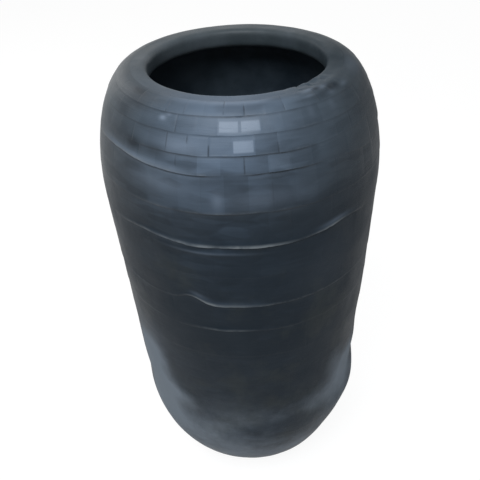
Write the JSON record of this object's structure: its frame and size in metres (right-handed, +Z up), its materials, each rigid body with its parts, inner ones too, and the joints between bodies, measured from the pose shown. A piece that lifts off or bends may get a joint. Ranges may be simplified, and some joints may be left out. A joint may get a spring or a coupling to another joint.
{
  "type": "air bellows actuator",
  "caption": "Open rolling-lobe rubber bellows: strip-built cover, cord plies and liner between a wide upper bead and a narrow lower bead.",
  "frame": {"origin": "on the sleeve's axis in the plane that its lower end stands on", "axes": "+Z up the sleeve's axis, from the lower (narrow) mouth to the upper (wide) mouth; the sleeve is round, so X and Y are free"},
  "size_m": [0.2592, 0.2592, 0.46],
  "materials": {
    "cover_rubber": "satin, printed by the curing tape",
    "liner_rubber": "smooth",
    "filler_rubber": "matt",
    "cord_fabric": "dipped cord",
    "tape_fabric": "woven tape",
    "chafer_fabric": "rubbered cloth",
    "bead_wire": "bronze-coated wire"
  },
  "bodies": {
    "lower_end": {"outer_cover": "cover_rubber", "outer_cord_ply": "cord_fabric", "inner_cord_ply": "cord_fabric", "inner_liner": "liner_rubber", "lower_bead_hoop": "bead_wire", "lower_bead_tape": "tape_fabric", "lower_bead_filler": "filler_rubber", "lower_chafer": "chafer_fabric"},
    "upper_end": {"upper_bead_hoop": "bead_wire", "upper_bead_tape": "tape_fabric", "upper_bead_filler": "filler_rubber", "upper_chafer": "chafer_fabric"}
  },
  "joints": [
    {"name": "stroke", "type": "slide", "parent": "lower_end", "child": "upper_end", "axis": [0, 0, 1], "range_m": [-0.14, 0.012], "stiffness_N_per_m": 6000, "deforming": ["outer_cover", "outer_cord_ply", "inner_cord_ply", "inner_liner"]}
  ]
}
